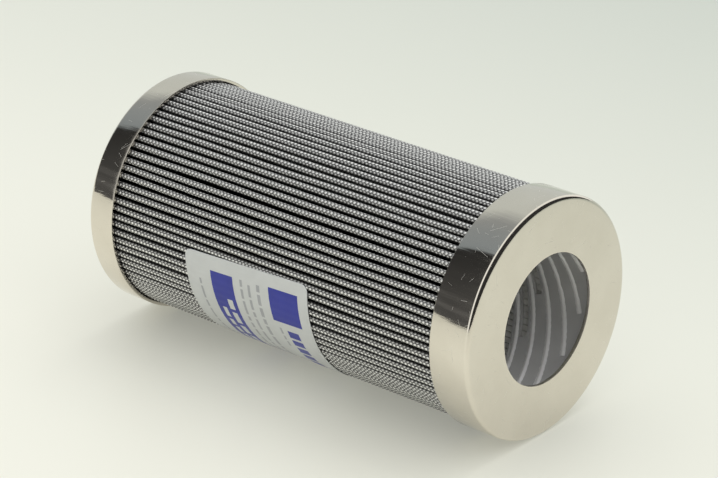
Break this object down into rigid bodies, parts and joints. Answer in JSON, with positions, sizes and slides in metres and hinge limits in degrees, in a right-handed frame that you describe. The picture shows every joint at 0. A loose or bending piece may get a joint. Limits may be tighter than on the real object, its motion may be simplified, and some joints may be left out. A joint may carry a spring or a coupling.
{
  "type": "pleated filter element",
  "caption": "Cylindrical pleated hydraulic filter element with two drawn metal end caps, a wire-mesh pleat pack, a bored end and a slotted centre tube.",
  "frame": {"origin": "centre of the closed end cap's outer face, which is the bottom of the element standing on its end", "axes": "+Z along the element's axis, from the closed cap to the bored cap; +X and +Y are radial, and the label lies about the +Y side"},
  "size_m": [0.076, 0.076, 0.153],
  "materials": {
    "open_cap_plate": "bright plated, lightly scratched",
    "closed_cap_plate": "bright plated, lightly scratched",
    "support_mesh": "woven wire cloth",
    "inner_mesh": "woven wire cloth",
    "outer_fleece": "thin non-woven",
    "media": "glass-fibre mat",
    "inner_fleece": "thin non-woven",
    "seam_adhesive": "cured adhesive",
    "top_resin": "cured resin",
    "bottom_resin": "cured resin",
    "tube_steel": "plated strip",
    "label_film": "satin film"
  },
  "bodies": {
    "root": {"open_end_cap": "open_cap_plate", "closed_end_cap": "closed_cap_plate", "outer_support_mesh": "support_mesh", "outer_fleece": "outer_fleece", "filter_media": "media", "inner_fleece": "inner_fleece", "inner_support_mesh": "inner_mesh", "side_seam": "seam_adhesive", "top_potting": "top_resin", "bottom_potting": "bottom_resin", "centre_tube": "tube_steel", "label": "label_film"}
  },
  "joints": []
}
